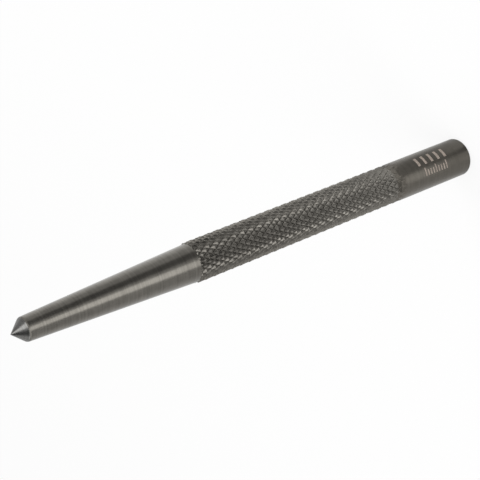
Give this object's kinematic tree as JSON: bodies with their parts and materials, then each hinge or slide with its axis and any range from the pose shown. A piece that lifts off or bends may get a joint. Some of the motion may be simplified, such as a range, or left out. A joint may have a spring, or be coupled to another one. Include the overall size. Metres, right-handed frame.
{
  "type": "center punch",
  "caption": "Round steel centre punch with a conical point, a long tapered nose, a diamond-knurled grip and a plain cylindrical head with a flat struck face.",
  "frame": {"origin": "centre of the flat struck face, which is the punch's lowest point as it stands on its head", "axes": "+Z along the punch's axis, from the struck face to the point; the punch is turned about +Z, so +X and +Y are any two directions across it"},
  "size_m": [0.009, 0.009, 0.125],
  "materials": {
    "black_oxide_steel": "satin black oxide"
  },
  "bodies": {
    "root": {"center_punch": "black_oxide_steel"}
  },
  "joints": []
}
